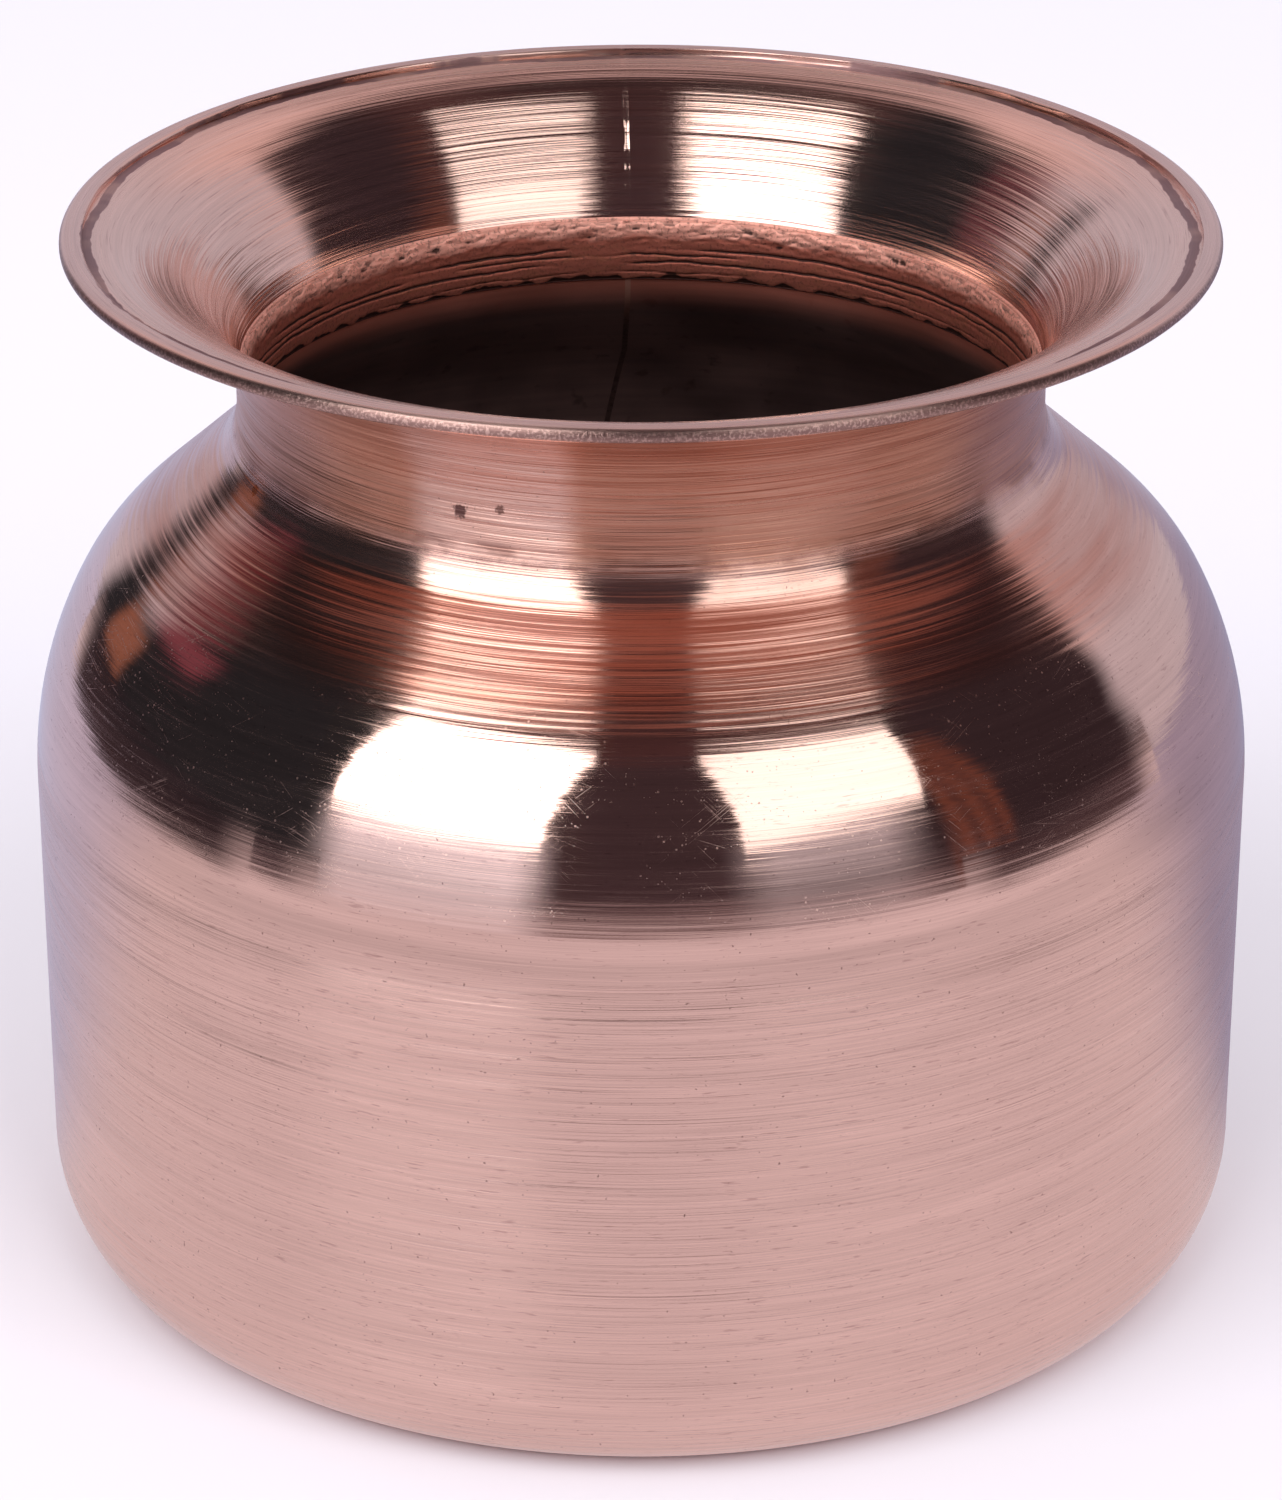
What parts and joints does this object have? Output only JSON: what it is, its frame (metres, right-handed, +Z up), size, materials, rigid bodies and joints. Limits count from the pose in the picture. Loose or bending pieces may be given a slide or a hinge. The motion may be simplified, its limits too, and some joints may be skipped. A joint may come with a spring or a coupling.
{
  "type": "lota water pot",
  "caption": "Round spun-copper water pot with straight wall, rounded shoulder, narrow waist and wide flared mouth with a folded hem.",
  "frame": {"origin": "centre of the base, on the plane that the pot stands on", "axes": "+Z up along the pot's axis, -Y towards the viewer of the picture, the upright seams at the back, close to +Y"},
  "size_m": [0.125, 0.125, 0.109],
  "materials": {
    "body_copper": "satin copper, brushed round the wall with fine horizontal lines",
    "shoulder_copper": "polished copper with spinning ridges high on the shoulder, light tarnish",
    "mouth_copper": "polished copper, spun, with an unpolished mauve channel beside the hem",
    "braze": "copper-phosphorus filler, dressed flush and polished",
    "rough_braze": "granular undressed filler, oxidised brown, with dark cracks"
  },
  "bodies": {
    "root": {"lower_cup": "body_copper", "shoulder_shell": "shoulder_copper", "mouth_collar": "mouth_copper", "belt_braze": "braze", "neck_braze": "rough_braze", "shoulder_seam_braze": "braze", "collar_seam_braze": "braze"}
  },
  "joints": []
}
